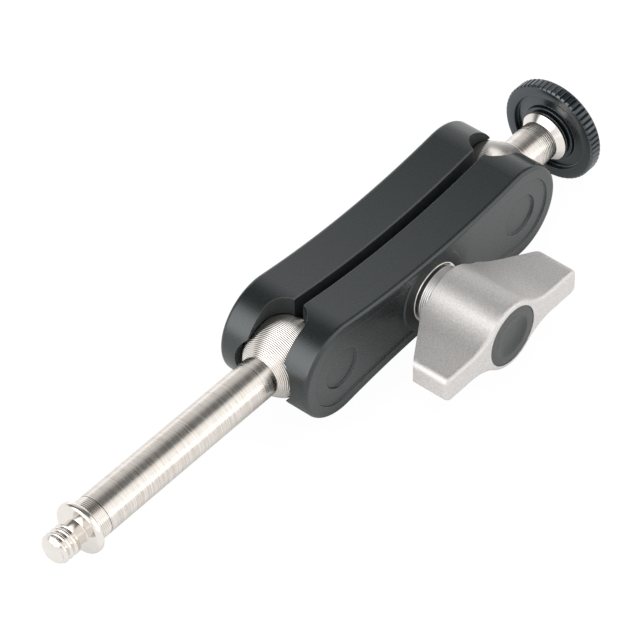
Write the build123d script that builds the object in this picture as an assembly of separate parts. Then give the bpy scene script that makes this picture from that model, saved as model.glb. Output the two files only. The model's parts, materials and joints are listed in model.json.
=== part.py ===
from build123d import *
import math
import os

# Articulating friction arm: two jaws on one clamp bolt grip a ball at each end.
# One ball carries a long threaded stud and the other a short stud with a lock wheel.
# Millimetres. +X runs along the arm, -Y is the side of the knob, +Z is up.
# The origin is the centre of the seating face of the long stud's flange.

os.makedirs("parts", exist_ok=True)

# Running clearance on the radius of a shaft in its hole
RUN_FIT = 0.05
# Clearance on the radius of a ball in its socket
BALL_FIT = 0.12
# Clearance on the radius of a bolt or a head in a plain hole or pocket
FREE_FIT = 0.25

# Camera thread, drawn plain on its outer diameter
THREAD_D = 6.35
THREAD_CHAMFER = 0.7

# Balls and studs
BALL_D = 16.0
ROD_D = 8.5
BALL_SPAN = 62.6
SPIGOT_D = 5.0
SPIGOT_LENGTH = 7.0
SPIGOT_END_ROOM = 0.5
EDGE_BREAK = 0.25

# Long stud
LONG_REACH = 57.3
TIP_THREAD_LENGTH = 4.3
TIP_NECK_LENGTH = 2.5
TIP_NECK_D = 4.95
TIP_RUN_OUT = 0.35
FLANGE_D = 11.0
FLANGE_T = 1.6
FLANGE_ROUND = 0.65
GRIP_LENGTH = 3.05

# Short stud
SHORT_NECK_REACH = 15.3
COLLAR_D = 10.9
COLLAR_LENGTH = 0.8
SHORT_THREAD_LENGTH = 9.0

# Lock wheel
WHEEL_D = 21.9
WHEEL_GAP = 0.5
WHEEL_T = 3.1
WHEEL_BEVEL = 0.4
WHEEL_HUB_D = 12.0
WHEEL_HUB_RISE = 0.2
WHEEL_DISH_D = 17.1
WHEEL_DISH_DEPTH = 1.0
WHEEL_DISH_STEP = 0.55
RIB_COUNT = 58
RIB_DEPTH = 0.4
# The groove's flat and the rib's crest, as shares of the pitch
RIB_ROOT_END = 0.12
RIB_CREST_START = 0.28
RIB_CREST_END = 0.84
PAD_OUTER_D = 19.6
PAD_WIDTH = 3.3
PAD_T = 1.0
PAD_PROUD = 0.4

# Jaws
JAW_GAP = 2.2
JAW_T = 9.65
BALL_BEYOND_END = 4.4
JAW_END_R = 10.8
JAW_WAIST = 8.9
JAW_EDGE = 0.9
JAW_INNER_EDGE = 0.25
SLOT_FIT = 0.35
MOUTH_D = 13.7
PANEL_INSET = 2.6
PANEL_DEPTH = 0.3
PANEL_CORNER = 1.2
PANEL_CENTRE_R = 8.5
DIMPLE_D = 9.1
DIMPLE_DEPTH = 0.4
RECESS_SLOPE = 35

# Clamp bolt, spring and washers
BOLT_D = 6.0
BOLT_HEAD_AF = 10.0
BOLT_HEAD_T = 4.0
BOLT_HEAD_SUNK = 0.4
BOLT_CROWN_DROP = 0.5
BOLT_CROWN_INSET = 0.2
BOLT_TIP_CHAMFER = 0.6
SPRING_WIRE = 1.0
SPRING_OUTER_D = 10.0
SPRING_LENGTH = 7.0
SPRING_TURNS = 4.5
SPRING_SEAT_D = 10.8
WASHER_D = 12.8
WASHER_T = 0.55
WASHER_EDGE = 0.14
SLIDER_D = 11.2
SLIDER_T = 0.6

# Knob with its threaded boss, its retaining clip and its cap
BOSS_D = 12.0
BOSS_T = 2.6
SHANK_AF = 9.6
SHANK_LENGTH = 9.0
CLIP_GAP = 1.9
CLIP_T = 0.7
CLIP_D = 8.8
CLIP_GROOVE_D = 4.8
CLIP_MOUTH = 4.0
BOLT_END = 1.0
KNOB_LENGTH = 15.5
KNOB_BARREL_D = 15.2
KNOB_SPAN = 39.5
WING_HEIGHT = 6.0
WING_BLEND_X = 12.4
WING_TIP_DEPTH = 8.2
WING_ROOT_X = 8.4
KNOB_EDGE = 0.9
KNOB_TIP_EDGE = 1.6
CAP_D = 12.9
CAP_T = 1.6
CAP_SUNK = 0.12
CAP_DISH_D = 9.2
CAP_DISH_DEPTH = 0.8
CAP_SKIRT_D = 11.2
CAP_SKIRT_WALL = 0.7
CAP_SKIRT_LENGTH = 2.0

# Places along the arm
SHORT_X = LONG_REACH + BALL_SPAN
CLAMP_X = LONG_REACH + BALL_SPAN / 2
# Centre of a jaw's round end, from the clamp axis
JAW_END_X = BALL_SPAN / 2 - BALL_BEYOND_END

# Places across the arm, as distances from the arm's centre plane
JAW_FACE = JAW_GAP / 2 + JAW_T
WASHER_FACE = JAW_FACE + WASHER_T
SLIDER_FACE = WASHER_FACE + SLIDER_T
KNOB_BACK = SLIDER_FACE + BOSS_T
SHANK_END = KNOB_BACK + SHANK_LENGTH
CLIP_NEAR = SHANK_END + CLIP_GAP
BOLT_TIP = CLIP_NEAR + CLIP_T + BOLT_END
KNOB_FRONT = KNOB_BACK + KNOB_LENGTH
CAP_FACE = KNOB_FRONT - CAP_SUNK
HEAD_FLOOR = JAW_FACE - BOLT_HEAD_SUNK - BOLT_HEAD_T

SOCKET_R = BALL_D / 2 + BALL_FIT
# Where the stud's shoulder seats on the flat of its ball
BALL_FLAT = math.sqrt((BALL_D / 2) ** 2 - (ROD_D / 2) ** 2)


def turned_x(points):
    """A solid turned about the arm's axis from (x, radius) points."""
    section = make_face(Polyline(*points, close=True))
    return revolve(section, Axis.X)


def turned_y(points):
    """A solid turned about the clamp bolt's axis from (y, radius) points."""
    section = make_face(Polyline(*[(radius, y) for y, radius in points], close=True))
    return revolve(section, Axis.Y)


def hexagon_y(across_flats, y_from, y_to):
    """A hexagonal bar about the clamp bolt's axis."""
    hexagon = RegularPolygon(across_flats / 2, 6, major_radius=False)
    bar = extrude(Plane.XZ * hexagon, y_from - y_to)
    return Pos(0, y_from, 0) * bar


def jaw_outline(inset=0.0):
    """The dog-bone outline about the clamp axis, as a face in the XZ plane."""
    waist_r = (JAW_END_X**2 + JAW_WAIST**2 - JAW_END_R**2) / (2 * (JAW_END_R - JAW_WAIST))
    waist_z = JAW_WAIST + waist_r
    share = waist_r / (waist_r + JAW_END_R)
    # The arcs meet on the line that joins their centres, moved in by the inset
    away_x = JAW_END_X / math.hypot(JAW_END_X, waist_z)
    away_z = -waist_z / math.hypot(JAW_END_X, waist_z)
    join_x = JAW_END_X * share + inset * away_x
    join_z = waist_z * (1 - share) + inset * away_z
    end_x = JAW_END_X + JAW_END_R - inset
    mid_z = JAW_WAIST - inset
    top = ThreePointArc((-join_x, join_z), (0, mid_z), (join_x, join_z))
    right = ThreePointArc((join_x, join_z), (end_x, 0), (join_x, -join_z))
    bottom = ThreePointArc((join_x, -join_z), (0, -mid_z), (-join_x, -join_z))
    left = ThreePointArc((-join_x, -join_z), (-end_x, 0), (-join_x, join_z))
    return make_face([top, right, bottom, left])


def bar_across(face, y_from, y_to, slope=0.0):
    """A face drawn about the clamp axis, run across the arm from one plane to another."""
    bar = extrude(Plane.XZ * face, y_from - y_to, taper=slope)
    return Pos(0, y_from, 0) * bar


def jaw(side):
    """One jaw. side is -1 for the knob's side and 1 for the far side."""
    inner = side * JAW_GAP / 2
    outer = side * JAW_FACE
    body = bar_across(jaw_outline(), inner, outer)
    body = fillet(body.faces().sort_by(Axis.Y)[0 if side < 0 else -1].edges(), JAW_EDGE)
    body = chamfer(body.faces().sort_by(Axis.Y)[-1 if side < 0 else 0].edges(), JAW_INNER_EDGE)

    # Shallow panels on the outer face, with a round dimple in each
    centre = Circle(PANEL_CENTRE_R)
    for panel in (jaw_outline(PANEL_INSET) - centre).faces():
        inward_corners = panel.vertices().filter_by(lambda v: abs(v.X) < PANEL_CENTRE_R)
        panel = fillet(inward_corners, PANEL_CORNER)
        body -= bar_across(panel, outer, outer - side * PANEL_DEPTH, RECESS_SLOPE)
    dimple_floor = JAW_FACE - PANEL_DEPTH - DIMPLE_DEPTH
    for end in (-1, 1):
        dimple = Pos(end * JAW_END_X, 0) * Circle(DIMPLE_D / 2)
        dimple_top = side * (JAW_FACE - PANEL_DEPTH)
        body -= bar_across(dimple, dimple_top, side * dimple_floor, RECESS_SLOPE)

    # Sockets for the balls, with a slot for the stud to swing in and a round mouth
    slot_half = ROD_D / 2 + SLOT_FIT
    beyond = JAW_END_X + 2 * JAW_END_R
    for end in (-1, 1):
        ball_x = end * BALL_SPAN / 2
        slot_length = beyond - BALL_SPAN / 2
        slot_face = Circle(slot_half) + Pos(end * slot_length / 2, 0) * Rectangle(slot_length, 2 * slot_half)
        slot = extrude(slot_face, JAW_END_R + 1, both=True)
        mouth = Pos(end * slot_length / 2, 0, 0) * Rot(0, 90, 0) * Cylinder(MOUTH_D / 2, slot_length)
        mouth_start = math.sqrt(SOCKET_R**2 - (MOUTH_D / 2) ** 2)
        mouth = Pos(end * mouth_start, 0, 0) * mouth
        body -= Pos(ball_x, 0, 0) * (Sphere(SOCKET_R) + slot + mouth)

    # Bolt hole and spring seat
    through = turned_y([(inner, 0), (outer, 0), (outer, BOLT_D / 2 + FREE_FIT), (inner, BOLT_D / 2 + FREE_FIT)])
    seat = side * SPRING_LENGTH / 2
    seat_r = SPRING_SEAT_D / 2
    spring_seat = turned_y([(inner, 0), (seat, 0), (seat, seat_r), (inner, seat_r)])
    body -= through + spring_seat
    if side > 0:
        body -= hexagon_y(BOLT_HEAD_AF + 2 * FREE_FIT, HEAD_FLOOR, JAW_FACE)
    return body


def ball(centre_x, end):
    """A ball with a flat and a blind hole for its stud. end is -1 or 1 along X."""
    hole_depth = SPIGOT_LENGTH + SPIGOT_END_ROOM
    hole_r = SPIGOT_D / 2 + RUN_FIT
    blank = Sphere(BALL_D / 2)
    beyond = 2 * BALL_D
    blank -= Pos(end * (BALL_FLAT + beyond / 2), 0, 0) * Box(beyond, beyond, beyond)
    floor = BALL_FLAT - hole_depth
    hole = turned_x([(end * floor, 0), (end * beyond, 0), (end * beyond, hole_r), (end * floor, hole_r)])
    return Pos(centre_x, 0, 0) * (blank - hole)


def long_rod():
    """The plain rod between the long stud's tip and its ball."""
    start = FLANGE_T + GRIP_LENGTH
    shoulder = LONG_REACH - BALL_FLAT
    rod_r = ROD_D / 2
    spigot_r = SPIGOT_D / 2
    hole_r = spigot_r + RUN_FIT
    hole_end = start + SPIGOT_LENGTH + SPIGOT_END_ROOM
    return turned_x(
        [
            (start, hole_r),
            (start, rod_r - EDGE_BREAK),
            (start + EDGE_BREAK, rod_r),
            (shoulder - EDGE_BREAK, rod_r),
            (shoulder, rod_r - EDGE_BREAK),
            (shoulder, spigot_r),
            (shoulder + SPIGOT_LENGTH, spigot_r),
            (shoulder + SPIGOT_LENGTH, 0),
            (hole_end, 0),
            (hole_end, hole_r),
        ]
    )


def thread_tip():
    """The flanged camera screw that closes the end of the long rod."""
    seat = FLANGE_T + GRIP_LENGTH
    thread_end = -(TIP_NECK_LENGTH + TIP_THREAD_LENGTH)
    thread_r = THREAD_D / 2
    neck_r = TIP_NECK_D / 2
    spigot_r = SPIGOT_D / 2
    screw = turned_x(
        [
            (thread_end, 0),
            (thread_end, thread_r - THREAD_CHAMFER),
            (thread_end + THREAD_CHAMFER, thread_r),
            (-TIP_NECK_LENGTH, thread_r),
            (-TIP_NECK_LENGTH + TIP_RUN_OUT, neck_r),
            (0, neck_r),
            (0, FLANGE_D / 2),
            (FLANGE_T, FLANGE_D / 2),
            (FLANGE_T, ROD_D / 2),
            (seat - EDGE_BREAK, ROD_D / 2),
            (seat, ROD_D / 2 - EDGE_BREAK),
            (seat, spigot_r),
            (seat + SPIGOT_LENGTH, spigot_r),
            (seat + SPIGOT_LENGTH, 0),
        ]
    )
    rims = screw.edges().filter_by(GeomType.CIRCLE).filter_by(lambda e: e.radius > ROD_D / 2 + EDGE_BREAK)
    return fillet(rims, FLANGE_ROUND)


def short_stud():
    """The short neck, its bevelled collar and its camera thread, turned as one."""
    shoulder = SHORT_X + BALL_FLAT
    neck_end = SHORT_X + SHORT_NECK_REACH
    rise = (COLLAR_D - ROD_D) / 2
    collar_end = neck_end + rise + COLLAR_LENGTH
    tip = collar_end + SHORT_THREAD_LENGTH
    thread_r = THREAD_D / 2
    spigot_r = SPIGOT_D / 2
    return turned_x(
        [
            (shoulder - SPIGOT_LENGTH, 0),
            (shoulder - SPIGOT_LENGTH, spigot_r),
            (shoulder, spigot_r),
            (shoulder, ROD_D / 2 - EDGE_BREAK),
            (shoulder + EDGE_BREAK, ROD_D / 2),
            (neck_end, ROD_D / 2),
            (neck_end + rise, COLLAR_D / 2),
            (collar_end - EDGE_BREAK, COLLAR_D / 2),
            (collar_end, COLLAR_D / 2 - EDGE_BREAK),
            (collar_end, thread_r),
            (tip - THREAD_CHAMFER, thread_r),
            (tip, thread_r - THREAD_CHAMFER),
            (tip, 0),
        ]
    )


# Planes of the lock wheel along the arm
WHEEL_HUB_X = SHORT_X + SHORT_NECK_REACH + (COLLAR_D - ROD_D) / 2 + COLLAR_LENGTH + WHEEL_GAP
WHEEL_BACK_X = WHEEL_HUB_X + WHEEL_HUB_RISE
WHEEL_FRONT_X = WHEEL_BACK_X + WHEEL_T


def lock_wheel():
    """The ribbed wheel: dished round its hub at the back, with a groove for the pad in front."""
    rim_r = WHEEL_D / 2
    bore_r = THREAD_D / 2 + RUN_FIT
    hub_r = WHEEL_HUB_D / 2
    dish_r = WHEEL_DISH_D / 2
    floor = WHEEL_BACK_X + WHEEL_DISH_DEPTH
    ledge = WHEEL_BACK_X + WHEEL_DISH_STEP
    pad_floor = WHEEL_FRONT_X - (PAD_T - PAD_PROUD)
    pad_outer = PAD_OUTER_D / 2 + RUN_FIT
    pad_inner = PAD_OUTER_D / 2 - PAD_WIDTH - RUN_FIT
    blank = turned_x(
        [
            (WHEEL_HUB_X, bore_r),
            (WHEEL_HUB_X, hub_r - EDGE_BREAK),
            (WHEEL_HUB_X + EDGE_BREAK, hub_r),
            (floor, hub_r + EDGE_BREAK),
            (floor, (hub_r + dish_r) / 2),
            (ledge, dish_r - EDGE_BREAK),
            (WHEEL_BACK_X, dish_r),
            (WHEEL_BACK_X, rim_r - WHEEL_BEVEL),
            (WHEEL_BACK_X + WHEEL_BEVEL, rim_r),
            (WHEEL_FRONT_X - WHEEL_BEVEL, rim_r),
            (WHEEL_FRONT_X, rim_r - WHEEL_BEVEL),
            (WHEEL_FRONT_X, pad_outer),
            (pad_floor, pad_outer),
            (pad_floor, pad_inner),
            (WHEEL_FRONT_X, pad_inner),
            (WHEEL_FRONT_X, bore_r),
        ]
    )
    ribs = []
    pitch = 2 * math.pi / RIB_COUNT
    root_r = rim_r - RIB_DEPTH
    for i in range(RIB_COUNT):
        for share, radius in (
            (0, root_r),
            (RIB_ROOT_END, root_r),
            (RIB_CREST_START, rim_r),
            (RIB_CREST_END, rim_r),
        ):
            angle = (i + share) * pitch
            ribs.append((radius * math.cos(angle), radius * math.sin(angle)))
    ribbed = extrude(Plane.YZ * make_face(Polyline(*ribs, close=True)), WHEEL_FRONT_X - WHEEL_HUB_X)
    return blank & (Pos(WHEEL_HUB_X, 0, 0) * ribbed)


def wheel_pad():
    """The soft ring in the front of the lock wheel."""
    back = WHEEL_FRONT_X - (PAD_T - PAD_PROUD)
    front = back + PAD_T
    outer_r = PAD_OUTER_D / 2
    inner_r = outer_r - PAD_WIDTH
    return turned_x(
        [
            (back, inner_r),
            (front, inner_r),
            (front, outer_r - EDGE_BREAK),
            (front - EDGE_BREAK, outer_r),
            (back, outer_r),
        ]
    )


def clamp_bolt():
    """The hexagon bolt, headed in the far jaw, with a groove for the clip near its tip."""
    shank_r = BOLT_D / 2
    groove_r = CLIP_GROOVE_D / 2
    groove_near = CLIP_NEAR - RUN_FIT
    groove_far = CLIP_NEAR + CLIP_T + RUN_FIT
    shank = turned_y(
        [
            (HEAD_FLOOR, 0),
            (HEAD_FLOOR, shank_r),
            (-groove_near, shank_r),
            (-groove_near, groove_r),
            (-groove_far, groove_r),
            (-groove_far, shank_r),
            (-BOLT_TIP + BOLT_TIP_CHAMFER, shank_r),
            (-BOLT_TIP, shank_r - BOLT_TIP_CHAMFER),
            (-BOLT_TIP, 0),
        ]
    )
    head_top = HEAD_FLOOR + BOLT_HEAD_T
    corner = BOLT_HEAD_AF / math.sqrt(3)
    crown = turned_y(
        [
            (HEAD_FLOOR, 0),
            (HEAD_FLOOR, corner),
            (head_top - BOLT_CROWN_DROP, corner),
            (head_top, BOLT_HEAD_AF / 2 - BOLT_CROWN_INSET),
            (head_top, 0),
        ]
    )
    return shank + (hexagon_y(BOLT_HEAD_AF, HEAD_FLOOR, head_top) & crown)


def opening_spring():
    """The spring round the bolt that parts the jaws, with ground ends."""
    coil_r = (SPRING_OUTER_D - SPRING_WIRE) / 2
    pitch = SPRING_LENGTH / SPRING_TURNS
    path = Helix(pitch, SPRING_LENGTH, coil_r)
    wire = Plane(path @ 0, z_dir=path % 0) * Circle(SPRING_WIRE / 2)
    coil = Pos(0, 0, -SPRING_LENGTH / 2) * sweep(wire, path, is_frenet=True)
    room = SPRING_OUTER_D * 2
    coil &= Box(room, room, SPRING_LENGTH)
    return Rot(90, 0, 0) * coil


def ring(near, far, inner_d, outer_d):
    """A washer between two planes on the knob's side of the arm, its outer far edge broken."""
    return turned_y(
        [
            (-near, inner_d / 2),
            (-far, inner_d / 2),
            (-far, outer_d / 2 - WASHER_EDGE),
            (-far + WASHER_EDGE, outer_d / 2),
            (-near, outer_d / 2),
        ]
    )


def knob_boss():
    """The threaded boss: a round flange against the washers and a hexagonal shank in the knob."""
    flange = ring(SLIDER_FACE, KNOB_BACK, BOLT_D + 2 * RUN_FIT, BOSS_D)
    shank = hexagon_y(SHANK_AF, -KNOB_BACK, -SHANK_END)
    bore_r = BOLT_D / 2 + RUN_FIT
    bore = turned_y([(-SLIDER_FACE, 0), (-SHANK_END, 0), (-SHANK_END, bore_r), (-SLIDER_FACE, bore_r)])
    return flange + (shank - bore)


def wing_knob():
    """The cast knob: a barrel with two wings, hollow for the boss, the clip and the cap."""
    barrel_r = KNOB_BARREL_D / 2
    wing = WING_HEIGHT / 2
    tip_x = KNOB_SPAN / 2
    # The hollow curve from wing to barrel is a circle that touches both
    blend_r = (WING_BLEND_X**2 / (barrel_r - wing) - (barrel_r + wing)) / 2
    centre_z = wing + blend_r
    share = barrel_r / (barrel_r + blend_r)
    touch_x = WING_BLEND_X * share
    touch_z = centre_z * share
    # The arc's middle lies halfway between the directions of its two ends
    lean = math.atan2(WING_BLEND_X, centre_z) / 2
    mid_x = WING_BLEND_X - blend_r * math.sin(lean)
    mid_z = centre_z - blend_r * math.cos(lean)
    edges = []
    for sx, sz in ((1, 1), (1, -1), (-1, -1), (-1, 1)):
        edges.append(
            ThreePointArc(
                (sx * touch_x, sz * touch_z),
                (sx * mid_x, sz * mid_z),
                (sx * WING_BLEND_X, sz * wing),
            )
        )
        edges.append(Line((sx * WING_BLEND_X, sz * wing), (sx * tip_x, sz * wing)))
    for sx in (1, -1):
        edges.append(Line((sx * tip_x, wing), (sx * tip_x, -wing)))
    for sz in (1, -1):
        edges.append(ThreePointArc((-touch_x, sz * touch_z), (0, sz * barrel_r), (touch_x, sz * touch_z)))
    front_view = make_face(Wire.combine(edges)[0])
    body = bar_across(front_view, -KNOB_BACK, -KNOB_FRONT)

    # The wings' back edges slope forward to the tips
    tip_y = -KNOB_FRONT + WING_TIP_DEPTH
    plan = Polyline(
        (-WING_ROOT_X, -KNOB_BACK),
        (WING_ROOT_X, -KNOB_BACK),
        (tip_x, tip_y),
        (tip_x, -KNOB_FRONT),
        (-tip_x, -KNOB_FRONT),
        (-tip_x, tip_y),
        close=True,
    )
    plan_bar = extrude(make_face(plan), KNOB_BARREL_D, both=True)
    body &= plan_bar

    # Round the wing tips first, then the edges that run round the front and the back
    tips = body.edges().filter_by(Axis.Y).filter_by(lambda e: abs(e.center().X) > tip_x - 0.01)
    body = fillet(tips, KNOB_TIP_EDGE)
    body = fillet(body.faces().filter_by(Axis.Y).sort_by(Axis.Y)[0].edges(), KNOB_EDGE)

    # Pockets: the boss's shank, the clip's room and the cap's seat
    clear = RUN_FIT
    pocket = hexagon_y(SHANK_AF + 2 * clear, -KNOB_BACK, -SHANK_END)
    room = turned_y(
        [
            (-SHANK_END, 0),
            (-KNOB_FRONT, 0),
            (-KNOB_FRONT, CAP_D / 2 + clear),
            (-(CAP_FACE - CAP_T), CAP_D / 2 + clear),
            (-(CAP_FACE - CAP_T), CAP_SKIRT_D / 2 + clear),
            (-SHANK_END, CAP_SKIRT_D / 2 + clear),
        ]
    )
    return body - pocket - room


def retaining_clip():
    """The open clip in the bolt's groove, which keeps the knob from coming off."""
    clip = ring(CLIP_NEAR, CLIP_NEAR + CLIP_T, CLIP_GROOVE_D + 2 * RUN_FIT, CLIP_D)
    mouth = Box(CLIP_MOUTH, 3 * CLIP_T, CLIP_D)
    return clip - Pos(0, -CLIP_NEAR - CLIP_T / 2, CLIP_D / 2) * mouth


def knob_cap():
    """The round dished cap that snaps into the front of the knob."""
    back = CAP_FACE - CAP_T
    edge = EDGE_BREAK
    skirt_r = CAP_SKIRT_D / 2
    dish_r = CAP_DISH_D / 2
    return turned_y(
        [
            (-back, 0),
            (-back, skirt_r - CAP_SKIRT_WALL),
            (-back + CAP_SKIRT_LENGTH, skirt_r - CAP_SKIRT_WALL),
            (-back + CAP_SKIRT_LENGTH, skirt_r),
            (-back, skirt_r),
            (-back, CAP_D / 2),
            (-CAP_FACE + edge, CAP_D / 2),
            (-CAP_FACE, CAP_D / 2 - edge),
            (-CAP_FACE, dish_r + edge),
            (-CAP_FACE + edge, dish_r - edge),
            (-CAP_FACE + CAP_DISH_DEPTH, dish_r / 2),
            (-CAP_FACE + CAP_DISH_DEPTH, 0),
        ]
    )


# Drawn about the clamp bolt's axis, then moved along the arm
clamp_pieces = {
    "front_jaw": jaw(-1),
    "rear_jaw": jaw(1),
    "clamp_bolt": clamp_bolt(),
    "opening_spring": opening_spring(),
    "jaw_washer": ring(JAW_FACE, WASHER_FACE, BOLT_D + 2 * FREE_FIT, WASHER_D),
    "sliding_washer": ring(WASHER_FACE, SLIDER_FACE, BOLT_D + 2 * FREE_FIT, SLIDER_D),
    "knob_boss": knob_boss(),
    "wing_knob": wing_knob(),
    "retaining_clip": retaining_clip(),
    "knob_cap": knob_cap(),
}
pieces = {name: Pos(CLAMP_X, 0, 0) * piece for name, piece in clamp_pieces.items()}

# Drawn where they stand
pieces |= {
    "long_ball": ball(LONG_REACH, -1),
    "long_rod": long_rod(),
    "thread_tip": thread_tip(),
    "short_ball": ball(SHORT_X, 1),
    "short_stud": short_stud(),
    "lock_wheel": lock_wheel(),
    "wheel_pad": wheel_pad(),
}

for name, piece in pieces.items():
    solids = piece.solids()
    shape = solids[0] if len(solids) == 1 else Compound(solids)
    export_step(shape, os.path.join("parts", name + ".step"))
    print(name, len(solids), round(shape.volume, 2))
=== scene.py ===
"""Looks for an articulating friction arm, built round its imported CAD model."""

import json
import math

import bpy
from mathutils import Matrix, Vector


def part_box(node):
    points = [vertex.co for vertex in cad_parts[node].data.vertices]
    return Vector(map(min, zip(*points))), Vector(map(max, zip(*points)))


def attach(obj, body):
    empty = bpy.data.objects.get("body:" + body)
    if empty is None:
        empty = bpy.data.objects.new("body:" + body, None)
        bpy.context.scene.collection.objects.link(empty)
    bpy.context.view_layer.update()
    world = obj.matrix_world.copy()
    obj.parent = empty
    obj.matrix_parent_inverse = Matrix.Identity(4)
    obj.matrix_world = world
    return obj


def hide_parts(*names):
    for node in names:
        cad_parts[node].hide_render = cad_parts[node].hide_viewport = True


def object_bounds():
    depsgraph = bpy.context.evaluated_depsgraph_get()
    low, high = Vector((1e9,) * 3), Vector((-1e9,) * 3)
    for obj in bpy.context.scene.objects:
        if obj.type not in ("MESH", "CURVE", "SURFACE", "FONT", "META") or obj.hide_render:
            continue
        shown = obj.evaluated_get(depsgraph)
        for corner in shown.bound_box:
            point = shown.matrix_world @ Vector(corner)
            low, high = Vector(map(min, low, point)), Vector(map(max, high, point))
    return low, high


bl_info = {
    "name": "Friction arm",
    "version": (1, 0, 0),
    "blender": (4, 5, 0),
    "location": "View3D > Sidebar > Friction arm",
    "description": "Dresses the CAD model of a friction arm with turned, threaded and cast pieces",
    "category": "Object",
}

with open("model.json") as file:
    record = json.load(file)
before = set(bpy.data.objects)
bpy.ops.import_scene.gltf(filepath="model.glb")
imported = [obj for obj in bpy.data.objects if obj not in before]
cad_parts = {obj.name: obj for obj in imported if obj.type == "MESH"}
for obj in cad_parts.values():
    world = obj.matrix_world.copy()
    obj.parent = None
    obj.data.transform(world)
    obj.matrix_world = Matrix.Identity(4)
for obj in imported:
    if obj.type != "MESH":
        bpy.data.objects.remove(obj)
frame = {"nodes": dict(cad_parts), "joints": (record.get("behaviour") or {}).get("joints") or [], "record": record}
CAD_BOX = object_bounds()

MM = 0.001
BODY_OF = {node: body for body, nodes in frame["record"]["behaviour"]["bodies"].items() for node in nodes}
JOINT = {joint["name"]: joint for joint in frame["joints"]}

LONG_BALL_CENTRE = Vector(JOINT["long_ball_swing"]["pos_m"])
SHORT_BALL_CENTRE = Vector(JOINT["short_ball_swing"]["pos_m"])
CLAMP_CENTRE = Vector(JOINT["knob_turn"]["pos_m"])
ALONG_ARM = Vector((1, 0, 0))
TOWARDS_KNOB = Vector((0, -1, 0))

# Sizes of the CAD model in mm that its boxes don't give
THREAD_R = 3.175
THREAD_CHAMFER = 0.7
SPIGOT_R = 2.5
SPIGOT_LENGTH = 7.0
SPIGOT_END_ROOM = 0.5
HOLE_R = 2.55
TIP_NECK_R = 2.475
TIP_NECK_LENGTH = 2.5
TIP_RUN_OUT = 0.3
FLANGE_T = 1.6
FLANGE_ROUND = 0.62
SHORT_NECK_REACH = 15.3
COLLAR_LENGTH = 0.8
WHEEL_BORE_R = 3.225
WHEEL_HUB_R = 6.0
WHEEL_HUB_RISE = 0.2
WHEEL_DISH_R = 8.55
WHEEL_DISH_DEPTH = 1.0
WHEEL_BEVEL = 0.4
PAD_GROOVE_R = (6.45, 9.85)
WASHER_HOLE_R = 3.25
CAP_DISC_T = 1.6
CAP_SKIRT_R = (4.9, 5.6)
CAP_DISH_R = 4.6
CAP_DISH_DEPTH = 0.8

# Grain drawn out round a piece that is turned about X or Y
ROUND_X = (1, 25, 25)
ROUND_Y = (25, 1, 25)
# The middle part of a noise's values, which holds nearly all of them
NOISE_LOW = 0.3
NOISE_HIGH = 0.7


def linear(code):
    """The linear colour of an sRGB hex code."""
    channels = [int(code[i : i + 2], 16) / 255 for i in (1, 3, 5)]
    return [c / 12.92 if c <= 0.04045 else ((c + 0.055) / 1.055) ** 2.4 for c in channels]


def size_mm(name, description, default):
    """A length that a user may change, in millimetres."""
    return bpy.props.FloatProperty(name=name, description=description, default=default, min=0.0, precision=3)


def number(name, description, default):
    """A number of either sign that a user may change."""
    return bpy.props.FloatProperty(name=name, description=description, default=default)


def brightness(name, description, default):
    """A brightness or a power that a user may change."""
    return bpy.props.FloatProperty(name=name, description=description, default=default, min=0)


def whole_number(name, description, default, least):
    """A whole number that a user may change."""
    return bpy.props.IntProperty(name=name, description=description, default=default, min=least)


def colour(name, description, code):
    """A colour that a user may change, given as an sRGB hex code."""
    return bpy.props.FloatVectorProperty(
        name=name, description=description, subtype="COLOR", default=linear(code), min=0, max=1
    )


class ArmDetails(bpy.types.PropertyGroup):
    """Sizes of the fine details that the CAD model leaves plain."""

    thread_pitch: size_mm("Thread pitch", "Pitch of the camera threads in mm", 1.27)
    thread_depth: size_mm("Thread depth", "Depth of the camera threads in mm", 0.72)
    ridge_pitch: size_mm("Ridge pitch", "Distance between the turned ridges on a ball in mm", 0.385)
    ridge_depth: size_mm("Ridge depth", "Depth of the turned ridges on a ball in mm", 0.11)
    ring_pitch: size_mm("Ring pitch", "Distance between the fine rings beside the long stud's seam in mm", 0.41)
    ring_depth: size_mm("Ring depth", "Depth of those fine rings in mm", 0.18)
    ring_count: whole_number("Rings", "How many fine rings there are", 6, 1)
    seam_width: size_mm("Seam width", "Width of the dark seam on the long stud in mm", 0.13)
    edge_round: size_mm("Edge round", "Rounding of a turned edge in mm", 0.12)
    rib_count: whole_number("Ribs", "Ribs round the lock wheel", 58, 6)
    rib_depth: size_mm("Rib depth", "Depth between the lock wheel's ribs in mm", 0.4)
    segments: whole_number("Segments", "Steps round a turned piece", 128, 24)


class ArmColours(bpy.types.PropertyGroup):
    """Colours of the arm's finishes."""

    jaw: colour("Jaws", "Black anodising on the jaws", "#15191A")
    # Painted highlight: a pale colour laid along the jaws' sharp edges for the light they catch
    jaw_edge_highlight: colour("Jaw edges", "Thin anodising along the jaws' sharp edges", "#5E6261")
    wheel: colour("Wheel", "Black anodising on the lock wheel", "#0F1315")
    nickel: colour("Nickel", "Nickel plating", "#EAE5DF")
    nickel_dark: colour("Nickel lines", "The darker lines in brushed nickel", "#C6BEB5")
    boss: colour("Boss", "Satin plating on the knob's boss", "#F6F4F4")
    knob: colour("Knob", "Satin plating on the cast knob", "#DBD8D6")
    cap: colour("Cap", "Moulded cap in the knob", "#383A3A")
    zinc: colour("Zinc", "Zinc plating on the bolt, the clip and the spring", "#B4B4B2")
    nylon: colour("Nylon", "Black sliding washer", "#131314")
    rubber: colour("Rubber", "Soft ring in the lock wheel", "#1B1B1C")


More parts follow.
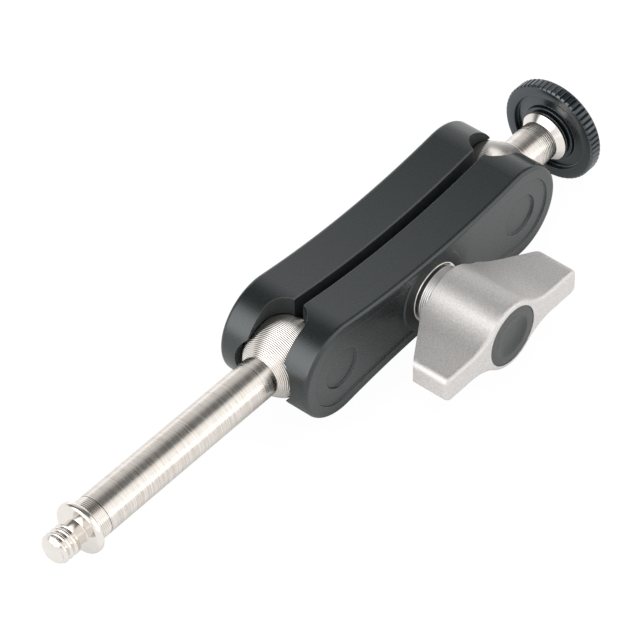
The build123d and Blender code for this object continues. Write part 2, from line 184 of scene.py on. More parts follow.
class StudioSettings(bpy.types.PropertyGroup):
    """Where the camera stands and how bright the lamps are."""

    azimuth: number("Azimuth", "Camera's turn round the arm in degrees", -50.07)
    elevation: number("Elevation", "Camera's height in degrees", 44.0)
    roll: number("Roll", "Camera's roll in degrees", -0.48)
    distance: size_mm("Distance", "Camera's distance from the clamp bolt in mm", 758.96)
    lens: size_mm("Lens", "Focal length in mm", 221.71)
    aim_right: number("Aim right", "Picture's centre to the right of the bolt in mm", -13.55)
    aim_up: number("Aim up", "Picture's centre above the bolt in mm", -10.37)
    side_power: brightness("Side lamp", "Power in watts", 0.15)
    sky_low: brightness("Low sky", "Brightness near the horizon", 1.0)
    sky_high: brightness("High sky", "Brightness overhead", 0.2)
    key_level: brightness("Key", "Brightness of the key light", 0.94)
    back_level: brightness("Back", "Brightness behind the arm", 0.68)
    left_level: brightness("Left", "Brightness of the left light", 3.0)
    fill_level: brightness("Fill", "Brightness of the fill", 0.95)


def rounded(corners, steps=4):
    """An outline of (distance, radius) corners in mm, with an arc of steps at each one that gives a rounding."""
    outline = []
    for i, corner in enumerate(corners):
        here = Vector(corner[:2])
        rounding = corner[2] if len(corner) > 2 else 0
        if rounding == 0:
            outline.append(here)
            continue
        before = (Vector(corners[i - 1][:2]) - here).normalized()
        after = (Vector(corners[(i + 1) % len(corners)][:2]) - here).normalized()
        half = before.angle(after) / 2
        centre = here + (before + after).normalized() * (rounding / math.sin(half))
        first = here + before * (rounding / math.tan(half)) - centre
        last = here + after * (rounding / math.tan(half)) - centre
        sweep = math.pi - 2 * half
        for k in range(steps + 1):
            share = k / steps
            spoke = (first * math.sin((1 - share) * sweep) + last * math.sin(share * sweep)) / math.sin(sweep)
            outline.append(centre + spoke)
    return outline


def mesh_piece(name, verts, faces, sharp_angle=32):
    """A mesh object with outward faces, smooth up to the sharp angle in degrees."""
    mesh = bpy.data.meshes.new(name)
    mesh.from_pydata(verts, [], faces)
    mesh.update()
    mesh.polygons.foreach_set("use_smooth", [True] * len(mesh.polygons))
    mesh.set_sharp_from_angle(angle=math.radians(sharp_angle))
    piece = bpy.data.objects.new(name, mesh)
    bpy.context.scene.collection.objects.link(piece)
    return piece


def turned(name, outline, centre, axis, segments, closed=False, cut=None, sharp_angle=32):
    """A piece turned about an axis through centre. cut(distance, angle) limits the radius, as a thread does."""
    side = axis.orthogonal().normalized()
    up = axis.cross(side)
    spokes = []
    for k in range(segments):
        angle = 2 * math.pi * k / segments
        spokes.append((angle, side * math.cos(angle) + up * math.sin(angle)))
    verts = []
    rings = []
    for distance, radius in outline:
        middle = centre + axis * (distance * MM)
        if radius < 1e-6:
            rings.append([len(verts)] * segments)
            verts.append(middle)
            continue
        rings.append(list(range(len(verts), len(verts) + segments)))
        for angle, spoke in spokes:
            reach = min(radius, cut(distance, angle)) if cut else radius
            verts.append(middle + spoke * (reach * MM))
    faces = []
    following = rings[1:] + rings[:1] if closed else rings[1:]
    for low, high in zip(rings, following):
        for k in range(segments):
            n = (k + 1) % segments
            corners = [low[k], low[n], high[n], high[k]]
            face = [c for i, c in enumerate(corners) if c != corners[i - 1]]
            if len(face) > 2:
                faces.append(face)
    return mesh_piece(name, verts, faces, sharp_angle)


def stand_for(piece, *nodes, material):
    """Lets a piece stand for CAD nodes: it joins their body, takes the given material and hides them."""
    piece.data.materials.append(material)
    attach(piece, BODY_OF[nodes[0]])
    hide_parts(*nodes)
    return piece


def paint(piece, material, centre, axis, start, end):
    """Gives a second finish to the faces that lie between two distances from centre along an axis, in mm."""
    mesh = piece.data
    mesh.materials.append(material)
    index = len(mesh.materials) - 1
    for face in mesh.polygons:
        if start < (face.center - centre).dot(axis) / MM < end:
            face.material_index = index


def dress(node, material):
    """Gives a CAD node its finish."""
    mesh = frame["nodes"][node].data
    mesh.materials.clear()
    mesh.materials.append(material)


def span_mm(node, centre, axis):
    """Nearest and farthest distance of a CAD node from centre along an axis, in mm."""
    low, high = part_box(node)
    ends = sorted(((low - centre).dot(axis) / MM, (high - centre).dot(axis) / MM))
    return ends[0], ends[1]


def radius_mm(node):
    """Half of a CAD node's height, in mm."""
    low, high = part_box(node)
    return (high.z - low.z) / 2 / MM


def add_node(tree, kind, settings=None, links=None):
    """Adds a shader node with its settings and its links from other nodes' outputs."""
    node = tree.nodes.new(kind)
    for key, value in (settings or {}).items():
        if isinstance(key, int) or key in node.inputs:
            node.inputs[key].default_value = value
        else:
            setattr(node, key, value)
    for key, (source, output) in (links or {}).items():
        tree.links.new(source.outputs[output], node.inputs[key])
    return node


def new_tree(name):
    """A material with an empty node tree."""
    material = bpy.data.materials.new(name)
    material.use_nodes = True
    material.node_tree.nodes.clear()
    return material, material.node_tree


def grain(tree, size, stretch, detail):
    """Noise whose grains are size mm across, drawn out along the axes by the stretch factors."""
    place = add_node(tree, "ShaderNodeTexCoord")
    lay = add_node(
        tree,
        "ShaderNodeMapping",
        {"Scale": [1 / s for s in stretch]},
        {"Vector": (place, "Object")},
    )
    return add_node(
        tree,
        "ShaderNodeTexNoise",
        {"Scale": 1 / (size * MM), "Detail": detail, "Roughness": 0.6},
        {"Vector": (lay, "Vector")},
    )


def spread(tree, source, low, high):
    """Maps the middle of a noise to a range of values."""
    return add_node(
        tree,
        "ShaderNodeMapRange",
        {"From Min": NOISE_LOW, "From Max": NOISE_HIGH, "To Min": low, "To Max": high},
        {"Value": (source, "Fac")},
    )


def tint(tree, source, dark, light):
    """Maps the middle of a noise to a range of colours."""
    ramp = add_node(tree, "ShaderNodeValToRGB", links={"Fac": (source, "Fac")})
    ramp.color_ramp.elements[0].position = NOISE_LOW
    ramp.color_ramp.elements[0].color = [*dark, 1]
    ramp.color_ramp.elements[1].position = NOISE_HIGH
    ramp.color_ramp.elements[1].color = [*light, 1]
    return ramp


def finish(
    name,
    dark,
    light,
    metallic,
    roughness,
    size,
    depth,
    stretch=(1, 1, 1),
    detail=4.0,
    ior=1.5,
    sheen=(1, 1, 1),
):
    """A surface with one grain that varies its colour, its roughness and its height.

    size is how wide the grain is and depth how deep, both in mm. roughness is its least and its most.
    """
    material, tree = new_tree(name)
    noise = grain(tree, size, stretch, detail)
    shade = tint(tree, noise, dark, light)
    rough = spread(tree, noise, *roughness)
    height = add_node(
        tree,
        "ShaderNodeBump",
        {"Strength": 1.0, "Distance": depth * MM},
        {"Height": (noise, "Fac")},
    )
    shader = add_node(
        tree,
        "ShaderNodeBsdfPrincipled",
        {"Metallic": metallic, "IOR": ior, "Specular Tint": (*sheen, 1)},
        {"Base Color": (shade, "Color"), "Roughness": (rough, "Result"), "Normal": (height, "Normal")},
    )
    add_node(tree, "ShaderNodeOutputMaterial", links={"Surface": (shader, "BSDF")})
    return material


def shaded(value, factor):
    """A colour made darker or lighter by a factor."""
    return [min(1.0, channel * factor) for channel in value]


def node_of(tree, kind):
    """The one node of a kind in a tree."""
    return next(node for node in tree.nodes if node.type == kind)


def soften_and_highlight_edges(tree, radius, edge_highlight):
    """Rounds the shading of each sharp edge, radius in mm, and paints a pale highlight colour along it."""
    # Cosines of the angle by which the rounded shading leans: where the painted highlight begins and where it is
    # full
    first_highlight, full_highlight = 0.98, 0.86
    softened = add_node(tree, "ShaderNodeBevel", {"samples": 4, "Radius": radius * MM})
    tree.links.new(softened.outputs["Normal"], node_of(tree, "BUMP").inputs["Normal"])
    face = add_node(tree, "ShaderNodeNewGeometry")
    along = add_node(
        tree,
        "ShaderNodeVectorMath",
        {"operation": "DOT_PRODUCT"},
        {0: (softened, "Normal"), 1: (face, "Normal")},
    )
    share = add_node(
        tree,
        "ShaderNodeMapRange",
        {"From Min": first_highlight, "From Max": full_highlight, "To Min": 0.0, "To Max": 1.0},
        {"Value": (along, "Value")},
    )
    mix = add_node(
        tree,
        "ShaderNodeMix",
        {"data_type": "RGBA", 7: (*edge_highlight, 1)},
        {0: (share, "Result"), 6: (node_of(tree, "VALTORGB"), "Color")},
    )
    tree.links.new(mix.outputs[2], node_of(tree, "BSDF_PRINCIPLED").inputs["Base Color"])


def dull_corners(tree, reach, extra):
    """Makes a surface rougher by up to extra where its surroundings close it in within reach mm."""
    shader = node_of(tree, "BSDF_PRINCIPLED")
    rough = shader.inputs["Roughness"].links[0].from_socket
    open_share = add_node(tree, "ShaderNodeAmbientOcclusion", {"samples": 4, "Distance": reach * MM})
    closed = add_node(tree, "ShaderNodeMath", {"operation": "SUBTRACT", 0: 1.0}, {1: (open_share, "AO")})
    added = add_node(tree, "ShaderNodeMath", {"operation": "MULTIPLY_ADD", 1: extra}, {0: (closed, "Value")})
    tree.links.new(rough, added.inputs[2])
    tree.links.new(added.outputs["Value"], shader.inputs["Roughness"])


def anodised_black(name):
    # Aluminium, bead blasted and anodised black: a fine even tooth under the oxide's cool hard sheen,
    # with a pale highlight painted along the sharp edges, dull in the corners
    colours = bpy.context.scene.arm_colours
    base = colours.jaw
    cool = (0.94, 1.0, 1.0)
    material = finish(
        name, shaded(base, 0.55), shaded(base, 1.5), 0.0, (0.25, 0.33), 0.34, 0.014, ior=1.68, sheen=cool
    )
    # Paints a pale highlight along the jaws' sharp edges
    soften_and_highlight_edges(material.node_tree, radius=0.2, edge_highlight=colours.jaw_edge_highlight)
    dull_corners(material.node_tree, reach=5.0, extra=0.6)
    return material


def turned_black(name):
    # Aluminium, turned and anodised black: deeper and glossier than the jaws
    base = bpy.context.scene.arm_colours.wheel
    cool = (0.9, 1.0, 1.06)
    return finish(
        name, shaded(base, 0.85), shaded(base, 1.15), 0.0, (0.16, 0.22), 0.2, 0.001, ior=1.78, sheen=cool
    )


def turned_nickel(name):
    # Steel, turned and nickel plated: bright, with fine tool lines that run round the X axis
    base = bpy.context.scene.arm_colours.nickel
    return finish(name, shaded(base, 0.86), base, 1.0, (0.1, 0.17), 0.12, 0.001, ROUND_X)


def brushed_nickel(name):
    # Steel, brushed while it turned and nickel plated: streaks run round the X axis and blur what it mirrors
    colours = bpy.context.scene.arm_colours
    return finish(
        name, colours.nickel_dark, colours.nickel, 1.0, (0.14, 0.32), 0.26, 0.016, ROUND_X, detail=7.0
    )


def ringed_nickel(name):
    # Steel, turned with a coarse feed and satin plated: even rings round the Y axis spread a highlight
    base = bpy.context.scene.arm_colours.boss
    material = finish(name, shaded(base, 0.94), base, 1.0, (0.34, 0.44), 0.2, 0.004, ROUND_Y)
    tree = material.node_tree
    shader = node_of(tree, "BSDF_PRINCIPLED")
    grain_height = node_of(tree, "BUMP")
    ring_pitch = 0.42
    ring_height = 0.06
    place = add_node(tree, "ShaderNodeTexCoord")
    # One wave is pi / 10 long at a scale of 1
    rings = add_node(
        tree,
        "ShaderNodeTexWave",
        {"bands_direction": "Y", "Scale": math.pi / 10 / (ring_pitch * MM)},
        {"Vector": (place, "Object")},
    )
    height = add_node(
        tree,
        "ShaderNodeBump",
        {"Strength": 1.0, "Distance": ring_height * MM},
        {"Height": (rings, "Fac"), "Normal": (grain_height, "Normal")},
    )
    tree.links.new(height.outputs["Normal"], shader.inputs["Normal"])
    return material


def polished_nickel(name):
    # Steel, polished and nickel plated: near a mirror, with a faint haze
    base = bpy.context.scene.arm_colours.nickel
    return finish(name, shaded(base, 0.95), base, 1.0, (0.08, 0.13), 1.5, 0.0005)


def satin_casting(name):
    # Zinc casting, blasted and satin plated: a sparkling grain, sharp up close and soft from a step away
    base = bpy.context.scene.arm_colours.knob
    return finish(name, shaded(base, 0.82), shaded(base, 1.1), 1.0, (0.52, 0.62), 0.34, 0.03)


def moulded_cap(name):
    # ABS, moulded with a fine spark texture: dull grey with a soft sheen
    base = bpy.context.scene.arm_colours.cap
    return finish(name, shaded(base, 0.9), shaded(base, 1.1), 0.0, (0.26, 0.32), 0.15, 0.003)


def zinc_plate(name):
    # Steel, rolled or forged and zinc plated: a cool grey that is duller than nickel
    base = bpy.context.scene.arm_colours.zinc
    return finish(name, shaded(base, 0.85), base, 1.0, (0.28, 0.42), 0.4, 0.004)


def cut_nylon(name):
    # Nylon sheet, stamped: black, with a waxy sheen
    base = bpy.context.scene.arm_colours.nylon
    return finish(name, shaded(base, 0.8), shaded(base, 1.3), 0.0, (0.35, 0.45), 0.3, 0.003)


def moulded_rubber(name):
    # Rubber, moulded: black and dull, with a fine pore
    base = bpy.context.scene.arm_colours.rubber
    return finish(name, shaded(base, 0.8), shaded(base, 1.25), 0.0, (0.62, 0.75), 0.2, 0.01)


def dark_gap(name):
    # Oil and shadow in a closed seam: black and dull
    return finish(name, [0.004] * 3, [0.01] * 3, 0.0, (0.6, 0.8), 0.3, 0.001)


def ridged_ball(radius, last_angle, details):
    """The outline of a ball from the pole behind to last_angle, with fine turned ridges."""
    steps = 6
    # Below 1 it makes the ridges flat on top and the grooves between them sharp
    fullness = 0.7
    ridges = round(radius * last_angle / details.ridge_pitch)
    outline = []
    for k in range(ridges * steps + 1):
        angle = last_angle * k / (ridges * steps)
        depth = details.ridge_depth * (1 - abs(math.sin(math.pi * (k / steps + 0.5))) ** fullness)
        reach = radius - depth
        outline.append((-reach * math.cos(angle), reach * math.sin(angle)))
    return outline


def thread_cut(outer, details):
    """The radius that a right-handed thread with rounded crests leaves at a place, in mm."""
    # Share of the half pitch from a root at which the crest begins
    crest_start = 0.86

    def limit(distance, angle):
        phase = (distance / details.thread_pitch - angle / (2 * math.pi)) % 1.0
        from_root = abs(phase - 0.5) * 2
        share = math.sin(math.pi / 2 * min(1.0, from_root / crest_start))
        return outer - details.thread_depth * (1 - share)

    return limit


def thread_rows(first, last, radius, details):
    """Rows of a straight stretch, close enough together to hold a thread."""
    per_pitch = 26
    rows = max(2, round(abs(last - first) / details.thread_pitch * per_pitch))
    return [(first + (last - first) * k / rows, radius) for k in range(rows + 1)]


class ARM_OT_jaws(bpy.types.Operator):
    """Finishes both jaws"""

    bl_idname = "arm.jaws"
    bl_label = "Jaws"

    def execute(self, context):
        black = anodised_black("jaw black anodised aluminium")
        for node in ("front_jaw", "rear_jaw"):
            dress(node, black)
        return {"FINISHED"}


class ARM_OT_balls(bpy.types.Operator):
    """Builds the two ridged balls"""

    bl_idname = "arm.balls"
    bl_label = "Balls"

    def execute(self, context):
        details = context.scene.arm_details
        nickel = turned_nickel("ball turned nickel")
        for node, centre, axis in (
            ("long_ball", LONG_BALL_CENTRE, -ALONG_ARM),
            ("short_ball", SHORT_BALL_CENTRE, ALONG_ARM),
        ):
            radius = radius_mm(node)
            flat = span_mm(node, centre, axis)[1]
            last_angle = math.pi - math.acos(flat / radius)
            hole_floor = flat - SPIGOT_LENGTH - SPIGOT_END_ROOM
            outline = ridged_ball(radius, last_angle, details)
            outline += [(flat, HOLE_R), (hole_floor, HOLE_R), (hole_floor, 0)]
            piece = turned("turned_" + node, outline, centre, axis, details.segments, sharp_angle=50)
            stand_for(piece, node, material=nickel)
        return {"FINISHED"}


class ARM_OT_long_stud(bpy.types.Operator):
    """Builds the long stud's brushed rod and its threaded tip"""

    bl_idname = "arm.long_stud"
    bl_label = "Long stud"

    def execute(self, context):
        details = context.scene.arm_details
        origin = Vector((0, 0, 0))
        rod_r = radius_mm("long_rod")
        seam = span_mm("long_rod", origin, ALONG_ARM)[0]
        far_end = span_mm("long_rod", origin, ALONG_ARM)[1]
        shoulder = (LONG_BALL_CENTRE.x / MM) - math.sqrt(radius_mm("long_ball") ** 2 - rod_r**2)
        edge = details.edge_round
        # Each side gives half of the seam's width
        gap = details.seam_width / 2
        hole_end = seam + SPIGOT_LENGTH + SPIGOT_END_ROOM
        rod = [
            (hole_end, 0),
            (hole_end, HOLE_R),
            (seam, HOLE_R),
            (seam, rod_r - 2 * gap),
            (seam + gap, rod_r - 2 * gap),
            (seam + gap, rod_r),
            (shoulder - edge, rod_r),
            (shoulder, rod_r - edge),
            (shoulder, SPIGOT_R),
            (far_end, SPIGOT_R),
            (far_end, 0),
        ]
        piece = turned("brushed_rod", rounded(rod), origin, ALONG_ARM, details.segments)
        stand_for(piece, "long_rod", material=brushed_nickel("rod brushed nickel"))
        seam_shadow = dark_gap("seam oil and shadow")
        paint(piece, seam_shadow, origin, ALONG_ARM, seam, seam + gap + 0.001)

        tip, tip_end = span_mm("thread_tip", origin, ALONG_ARM)
        neck_end = -TIP_NECK_LENGTH
        flange_r = radius_mm("thread_tip")
        outline = [(tip, 0), (tip, THREAD_R - THREAD_CHAMFER - 0.05)]
        outline += thread_rows(tip + 0.05, neck_end, THREAD_R, details)
        for i, (distance, radius) in enumerate(outline):
            outline[i] = (distance, min(radius, THREAD_R - THREAD_CHAMFER + (distance - tip)))
        rings_start = seam - 2 * gap - details.ring_count * details.ring_pitch
        outline += rounded(
            [
                (neck_end, TIP_NECK_R + TIP_RUN_OUT / 3),
                (neck_end + TIP_RUN_OUT, TIP_NECK_R),
                (0, TIP_NECK_R, 0.25),
                (0, flange_r, FLANGE_ROUND),
                (FLANGE_T, flange_r, FLANGE_ROUND),
                (FLANGE_T, rod_r + 0.001, 0.15),
                (rings_start - 0.02, rod_r),
            ],
            steps=6,
        )
        # Narrow grooves between wider crests: shares of the pitch and of the depth
        groove = ((0, 0), (0.35, 0), (0.5, 0.7), (0.675, 1), (0.85, 0.7))
        for k in range(details.ring_count):
            start = rings_start + details.ring_pitch * k
            for share, depth in groove:
                outline.append((start + details.ring_pitch * share, rod_r - details.ring_depth * depth))
        outline += [
            (seam - 2 * gap, rod_r),
            (seam - gap, rod_r),
            (seam - gap, rod_r - 2 * gap),
            (seam, rod_r - 2 * gap),
            (seam, SPIGOT_R),
            (tip_end, SPIGOT_R),
            (tip_end, 0),
        ]
        limit = thread_cut(THREAD_R, details)
        piece = turned(
            "threaded_tip",
            outline,
            origin,
            ALONG_ARM,
            details.segments,
            cut=lambda distance, angle: limit(distance, angle) if distance < neck_end else flange_r,
            sharp_angle=40,
        )
        stand_for(piece, "thread_tip", material=polished_nickel("tip polished nickel"))
        paint(piece, seam_shadow, origin, ALONG_ARM, seam - gap - 0.001, seam)
        return {"FINISHED"}


class ARM_OT_short_stud(bpy.types.Operator):
    """Builds the short stud with its neck, collar and thread"""

    bl_idname = "arm.short_stud"
    bl_label = "Short stud"

    def execute(self, context):
        details = context.scene.arm_details
        centre = SHORT_BALL_CENTRE
        inner, tip = span_mm("short_stud", centre, ALONG_ARM)
        neck_r = radius_mm("long_rod")
        collar_r = radius_mm("short_stud")
        neck_end = SHORT_NECK_REACH
        shoulder = math.sqrt(radius_mm("short_ball") ** 2 - neck_r**2)
        collar_start = neck_end + collar_r - neck_r
        collar_end = collar_start + COLLAR_LENGTH
        edge = details.edge_round
        outline = [(inner, 0), (inner, SPIGOT_R), (shoulder, SPIGOT_R), (shoulder, neck_r - edge)]
        # Faint rings along the neck
        steps = 4
        ring_pitch = 0.45
        ring_depth = 0.02
        before_rings, plain_length = 0.2, 0.3
        rings = int((neck_end - shoulder - plain_length) / ring_pitch)
        for k in range(rings * steps + 1):
            dip = ring_depth * abs(math.sin(math.pi * k / steps))
            outline.append((shoulder + before_rings + ring_pitch * k / steps, neck_r - dip))
        outline += rounded(
            [
                (neck_end - 0.05, neck_r),
                (collar_start, collar_r, 0.1),
                (collar_end, collar_r, 0.2),
                (collar_end, THREAD_R, 0.0),
                (collar_end + 0.01, THREAD_R),
            ]
        )
        outline += thread_rows(collar_end + 0.02, tip - 0.05, THREAD_R, details)
        end_r = THREAD_R - THREAD_CHAMFER
        outline = [(d, min(r, end_r + (tip - d)) if d > collar_end else r) for d, r in outline]
        outline += [(tip, end_r), (tip, 0)]
        limit = thread_cut(THREAD_R, details)
        piece = turned(
            "collared_stud",
            outline,
            centre,
            ALONG_ARM,
            details.segments,
            cut=lambda distance, angle: limit(distance, angle) if distance > collar_end else collar_r,
            sharp_angle=30,
        )
        stand_for(piece, "short_stud", material=brushed_nickel("neck brushed nickel"))
        paint(piece, polished_nickel("collar polished nickel"), centre, ALONG_ARM, neck_end, tip)
        return {"FINISHED"}


class ARM_OT_lock_wheel(bpy.types.Operator):
    """Builds the ribbed lock wheel and finishes its soft ring"""

    bl_idname = "arm.lock_wheel"
    bl_label = "Lock wheel"

    def execute(self, context):
        details = context.scene.arm_details
        centre = SHORT_BALL_CENTRE
        hub, front = span_mm("lock_wheel", centre, ALONG_ARM)
        rim_r = radius_mm("lock_wheel")
        back = hub + WHEEL_HUB_RISE
        floor = back + WHEEL_DISH_DEPTH
        pad_back = span_mm("wheel_pad", centre, ALONG_ARM)[0]
        pad_inner, pad_outer = PAD_GROOVE_R
        # The dish falls gently from the hub to the foot of the rim
        dish_fall = 0.35
        corners = [
            (hub, WHEEL_BORE_R, 0.0),
            (hub, WHEEL_HUB_R, 0.16),
            (floor - dish_fall, WHEEL_HUB_R + 0.15, 0.12),
            (floor, WHEEL_DISH_R - 0.1, 0.3),
            (back, WHEEL_DISH_R, 0.15),
            (back, rim_r - WHEEL_BEVEL, 0.2),
            (back + WHEEL_BEVEL, rim_r, 0.2),
            (front - WHEEL_BEVEL, rim_r, 0.1),
            (front, rim_r - WHEEL_BEVEL, 0.12),
            (front, pad_outer, 0.1),
            (pad_back, pad_outer),
            (pad_back, pad_inner),
            (front, pad_inner, 0.1),
            (front, WHEEL_BORE_R, 0.0),
        ]

        # Shares of half a rib's pitch: the groove's floor, then its rounded flank
        groove_floor, flank = 0.12, 0.4

        def ribs(distance, angle):
            """Rounded bars with a narrow groove between them."""
            phase = (angle * details.rib_count / (2 * math.pi)) % 1.0
            from_groove = abs(phase - 0.5) * 2
            share = min(1.0, max(0.0, (from_groove - groove_floor) / flank))
            return rim_r - details.rib_depth * (1 - math.sin(math.pi / 2 * share))

        steps_per_rib = 12
        wheel = turned(
            "ribbed_wheel",
            rounded(corners, steps=3),
            centre,
            ALONG_ARM,
            details.rib_count * steps_per_rib,
            closed=True,
            cut=ribs,
            sharp_angle=28,
        )
        stand_for(wheel, "lock_wheel", material=turned_black("wheel black anodised aluminium"))
        dress("wheel_pad", moulded_rubber("pad moulded rubber"))
        return {"FINISHED"}


class ARM_OT_clamp(bpy.types.Operator):
    """Finishes the bolt, its clip and the spring"""

    bl_idname = "arm.clamp"
    bl_label = "Clamp"

    def execute(self, context):
        zinc = zinc_plate("bolt zinc plated steel")
        for node in ("clamp_bolt", "retaining_clip", "opening_spring"):
            dress(node, zinc)
        return {"FINISHED"}


class ARM_OT_washers(bpy.types.Operator):
    """Builds the bright washer and finishes the sliding one"""

    bl_idname = "arm.washers"
    bl_label = "Washers"

    def execute(self, context):
        details = context.scene.arm_details
        near, far = span_mm("jaw_washer", CLAMP_CENTRE, TOWARDS_KNOB)
        outer = radius_mm("jaw_washer")
        washer = [(near, WASHER_HOLE_R), (far, WASHER_HOLE_R), (far, outer, 0.2), (near, outer, 0.05)]
        piece = turned(
            "bright_washer", rounded(washer), CLAMP_CENTRE, TOWARDS_KNOB, details.segments, closed=True
        )
        stand_for(piece, "jaw_washer", material=polished_nickel("washer polished nickel"))
        dress("sliding_washer", cut_nylon("washer black nylon"))
        return {"FINISHED"}


class ARM_OT_knob(bpy.types.Operator):
    """Finishes the cast knob and its boss and builds its cap"""

    bl_idname = "arm.knob"
    bl_label = "Knob"

    def execute(self, context):
        details = context.scene.arm_details
        dress("wing_knob", satin_casting("knob satin zinc casting"))
        dress("knob_boss", ringed_nickel("boss ringed nickel"))

        back, face = span_mm("knob_cap", CLAMP_CENTRE, TOWARDS_KNOB)
        cap_r = radius_mm("knob_cap")
        disc_back = face - CAP_DISC_T
        skirt_inner, skirt_outer = CAP_SKIRT_R
        outline = [
            (disc_back, 0),
            (disc_back, skirt_inner),
            (back, skirt_inner),
            (back, skirt_outer),
            (disc_back, skirt_outer),
            (disc_back, cap_r),
        ]
        lip = [(disc_back, cap_r), (face, cap_r, 0.18), (face, CAP_DISH_R, 0.2), (face - 0.2, CAP_DISH_R - 0.3)]
        outline += rounded(lip)[1:-1]
        # A hollow that is steep at its rim and nearly flat in the middle
        bowl_r = CAP_DISH_R - 0.25
        rim_drop = 0.16
        steepness = 3.5
        steps = 18
        for k in range(1, steps + 1):
            radius = bowl_r * (1 - k / steps)
            fall = (CAP_DISH_DEPTH - rim_drop) * (1 - (radius / bowl_r) ** steepness)
            outline.append((face - rim_drop - fall, radius))
        piece = turned("dished_cap", outline, CLAMP_CENTRE, TOWARDS_KNOB, details.segments)
        stand_for(piece, "knob_cap", material=moulded_cap("cap moulded plastic"))
        return {"FINISHED"}


def softbox(name, direction, distance, width, height, power):
    """A large soft lamp that faces the clamp bolt. distance, width and height are in metres."""
    lamp = bpy.data.lights.new(name, "AREA")
    lamp.shape = "RECTANGLE"
    lamp.size = width
    lamp.size_y = height
    lamp.energy = power
    holder = bpy.data.objects.new(name, lamp)
    bpy.context.scene.collection.objects.link(holder)
    away = Vector(direction).normalized()
    holder.location = CLAMP_CENTRE + away * distance
    holder.rotation_euler = away.to_track_quat("Z", "Y").to_euler()
    holder.visible_camera = False
    return holder


def glow(tree, place, direction, inner, outer, level):
    """A patch of light in the sky: full within inner degrees of a direction, none past outer degrees."""
    towards = add_node(
        tree,
        "ShaderNodeVectorMath",
        {"operation": "DOT_PRODUCT", 1: Vector(direction).normalized()},
        {0: (place, "Generated")},
    )
    return add_node(
        tree,
        "ShaderNodeMapRange",
        {
            "interpolation_type": "SMOOTHSTEP",
            "From Min": math.cos(math.radians(outer)),
            "From Max": math.cos(math.radians(inner)),
            "To Min": 0.0,
            "To Max": level,
        },
        {"Value": (towards, "Value")},
    )


def studio_world(settings):
    """White behind the arm. For everything else a dim studio, white near the floor, with soft lights."""
    # Heights on a sphere of radius 1 between which the sky goes from low to high
    low, high = 0.08, 0.42
    # Where each light stands, the angles at which it begins to fade and ends, and its brightness
    lights = (
        ((0.54, -0.75, 0.38), 25, 38, settings.key_level),
        ((0.7, 0.6, 0.38), 10, 42, settings.back_level),
        ((-0.8, 0.22, 0.46), 8, 40, settings.left_level),
        ((-0.35, -0.65, 0.67), 18, 44, settings.fill_level),
    )
    world = bpy.data.worlds.new("studio")
    bpy.context.scene.world = world
    world.use_nodes = True
    tree = world.node_tree
    tree.nodes.clear()
    place = add_node(tree, "ShaderNodeTexCoord")
    split = add_node(tree, "ShaderNodeSeparateXYZ", links={"Vector": (place, "Generated")})
    total = add_node(
        tree,
        "ShaderNodeMapRange",
        {
            "interpolation_type": "SMOOTHSTEP",
            "From Min": low,
            "From Max": high,
            "To Min": settings.sky_low,
            "To Max": settings.sky_high,
        },
        {"Value": (split, "Z")},
    )
    sum_from = (total, "Result")
    for light in lights:
        patch = glow(tree, place, *light)
        added = add_node(tree, "ShaderNodeMath", {"operation": "ADD"}, {0: sum_from, 1: (patch, "Result")})
        sum_from = (added, "Value")
    room = add_node(tree, "ShaderNodeBackground", {"Color": (1, 1, 1, 1)}, {"Strength": sum_from})
    white = add_node(tree, "ShaderNodeBackground", {"Color": (1, 1, 1, 1), "Strength": 1.0})
    ray = add_node(tree, "ShaderNodeLightPath")
    pick = add_node(
        tree,
        "ShaderNodeMixShader",
        links={0: (ray, "Is Camera Ray"), 1: (room, "Background"), 2: (white, "Background")},
    )
    add_node(tree, "ShaderNodeOutputWorld", links={"Surface": (pick, "Shader")})


def floor_paper(name):
    # Seamless paper, matt and white: it keeps a soft shadow of the arm
    shadow_reach, shadow_strength, gain, whiteness = 0.012, 0.9, 1.06, 0.97
    material, tree = new_tree(name)
    paper = add_node(tree, "ShaderNodeBsdfDiffuse", {"Color": (0.9, 0.9, 0.9, 1)})
    shade = add_node(tree, "ShaderNodeAmbientOcclusion", {"samples": 4, "Distance": shadow_reach})
    open_share = add_node(
        tree, "ShaderNodeMath", {"operation": "POWER", 1: shadow_strength}, {0: (shade, "AO")}
    )
    lit = add_node(tree, "ShaderNodeMath", {"operation": "MULTIPLY", 1: gain}, {0: (open_share, "Value")})
    ray = add_node(tree, "ShaderNodeLightPath")
    strength = add_node(
        tree,
        "ShaderNodeMath",
        {"operation": "MAXIMUM"},
        {0: (ray, "Is Camera Ray"), 1: (lit, "Value")},
    )
    white = add_node(tree, "ShaderNodeEmission", {"Color": (1, 1, 1, 1)}, {"Strength": (strength, "Value")})
    seen = add_node(
        tree,
        "ShaderNodeMath",
        {"operation": "MAXIMUM"},
        {0: (ray, "Is Camera Ray"), 1: (ray, "Is Glossy Ray")},
    )
    share = add_node(tree, "ShaderNodeMath", {"operation": "MULTIPLY", 1: whiteness}, {0: (seen, "Value")})
    mix = add_node(
        tree,
        "ShaderNodeMixShader",
        links={0: (share, "Value"), 1: (paper, "BSDF"), 2: (white, "Emission")},
    )
    add_node(tree, "ShaderNodeOutputMaterial", links={"Surface": (mix, "Shader")})
    return material


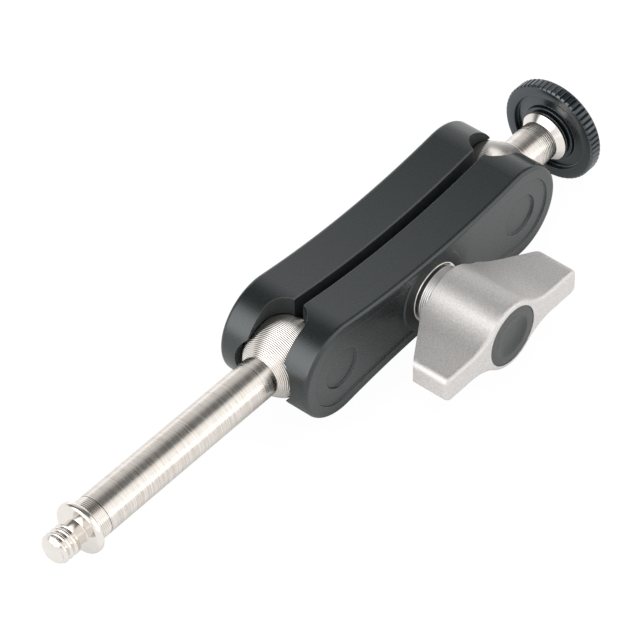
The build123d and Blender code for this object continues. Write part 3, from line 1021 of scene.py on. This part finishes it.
class ARM_OT_stage(bpy.types.Operator):
    """Sets up the floor, the lamps and the camera"""

    bl_idname = "arm.stage"
    bl_label = "Stage"

    def execute(self, context):
        scene = context.scene
        settings = scene.arm_studio
        scene.view_settings.view_transform = "Standard"

        # A wide square just under the arm
        half = 3.0
        floor_z = CAD_BOX[0].z - 0.2 * MM
        corners = [(-half, -half, floor_z), (half, -half, floor_z), (half, half, floor_z), (-half, half, floor_z)]
        floor = mesh_piece("floor", corners, [(0, 1, 2, 3)])
        floor.data.materials.append(floor_paper("floor white paper"))

        studio_world(settings)
        softbox("side lamp", (0.55, -0.8, 0.5), 0.6, width=0.5, height=0.4, power=settings.side_power)

        azimuth, elevation, roll = (
            math.radians(a) for a in (settings.azimuth, settings.elevation, settings.roll)
        )
        back = Vector(
            (
                math.sin(azimuth) * math.cos(elevation),
                -math.cos(azimuth) * math.cos(elevation),
                math.sin(elevation),
            )
        )
        right = Vector((math.cos(azimuth), math.sin(azimuth), 0))
        up = back.cross(right)
        right, up = (
            right * math.cos(roll) + up * math.sin(roll),
            up * math.cos(roll) - right * math.sin(roll),
        )
        place = CLAMP_CENTRE + back * (settings.distance * MM)
        aim = CLAMP_CENTRE + (right * settings.aim_right + up * settings.aim_up) * MM
        look = (place - aim).normalized()
        across = up.cross(look).normalized()
        lens = bpy.data.cameras.new("camera")
        lens.lens = settings.lens
        lens.sensor_width = 36
        lens.clip_start = 0.01
        lens.clip_end = 20
        camera = bpy.data.objects.new("camera", lens)
        scene.collection.objects.link(camera)
        turn = Matrix((across, look.cross(across), look)).transposed()
        camera.matrix_world = Matrix.Translation(place) @ turn.to_4x4()
        scene.camera = camera
        return {"FINISHED"}


class ARM_PT_panel(bpy.types.Panel):
    """Lists the arm's pieces in the sidebar"""

    bl_idname = "ARM_PT_panel"
    bl_label = "Friction arm"
    bl_space_type = "VIEW_3D"
    bl_region_type = "UI"
    bl_category = "Friction arm"

    def draw(self, context):
        for step in STEPS:
            self.layout.operator(step.bl_idname)
        for group in (context.scene.arm_details, context.scene.arm_colours, context.scene.arm_studio):
            for key in group.bl_rna.properties.keys():
                if key not in ("rna_type", "name"):
                    self.layout.prop(group, key)


STEPS = (
    ARM_OT_jaws,
    ARM_OT_balls,
    ARM_OT_long_stud,
    ARM_OT_short_stud,
    ARM_OT_lock_wheel,
    ARM_OT_clamp,
    ARM_OT_washers,
    ARM_OT_knob,
    ARM_OT_stage,
)
CLASSES = (ArmDetails, ArmColours, StudioSettings, *STEPS, ARM_PT_panel)


def register():
    for cls in CLASSES:
        bpy.utils.register_class(cls)
    bpy.types.Scene.arm_details = bpy.props.PointerProperty(type=ArmDetails)
    bpy.types.Scene.arm_colours = bpy.props.PointerProperty(type=ArmColours)
    bpy.types.Scene.arm_studio = bpy.props.PointerProperty(type=StudioSettings)


def unregister():
    del bpy.types.Scene.arm_studio
    del bpy.types.Scene.arm_colours
    del bpy.types.Scene.arm_details
    for cls in reversed(CLASSES):
        bpy.utils.unregister_class(cls)


def main():
    register()
    bpy.ops.arm.jaws()
    bpy.ops.arm.balls()
    bpy.ops.arm.long_stud()
    bpy.ops.arm.short_stud()
    bpy.ops.arm.lock_wheel()
    bpy.ops.arm.clamp()
    bpy.ops.arm.washers()
    bpy.ops.arm.knob()
    bpy.ops.arm.stage()


if __name__ == "__main__":
    main()
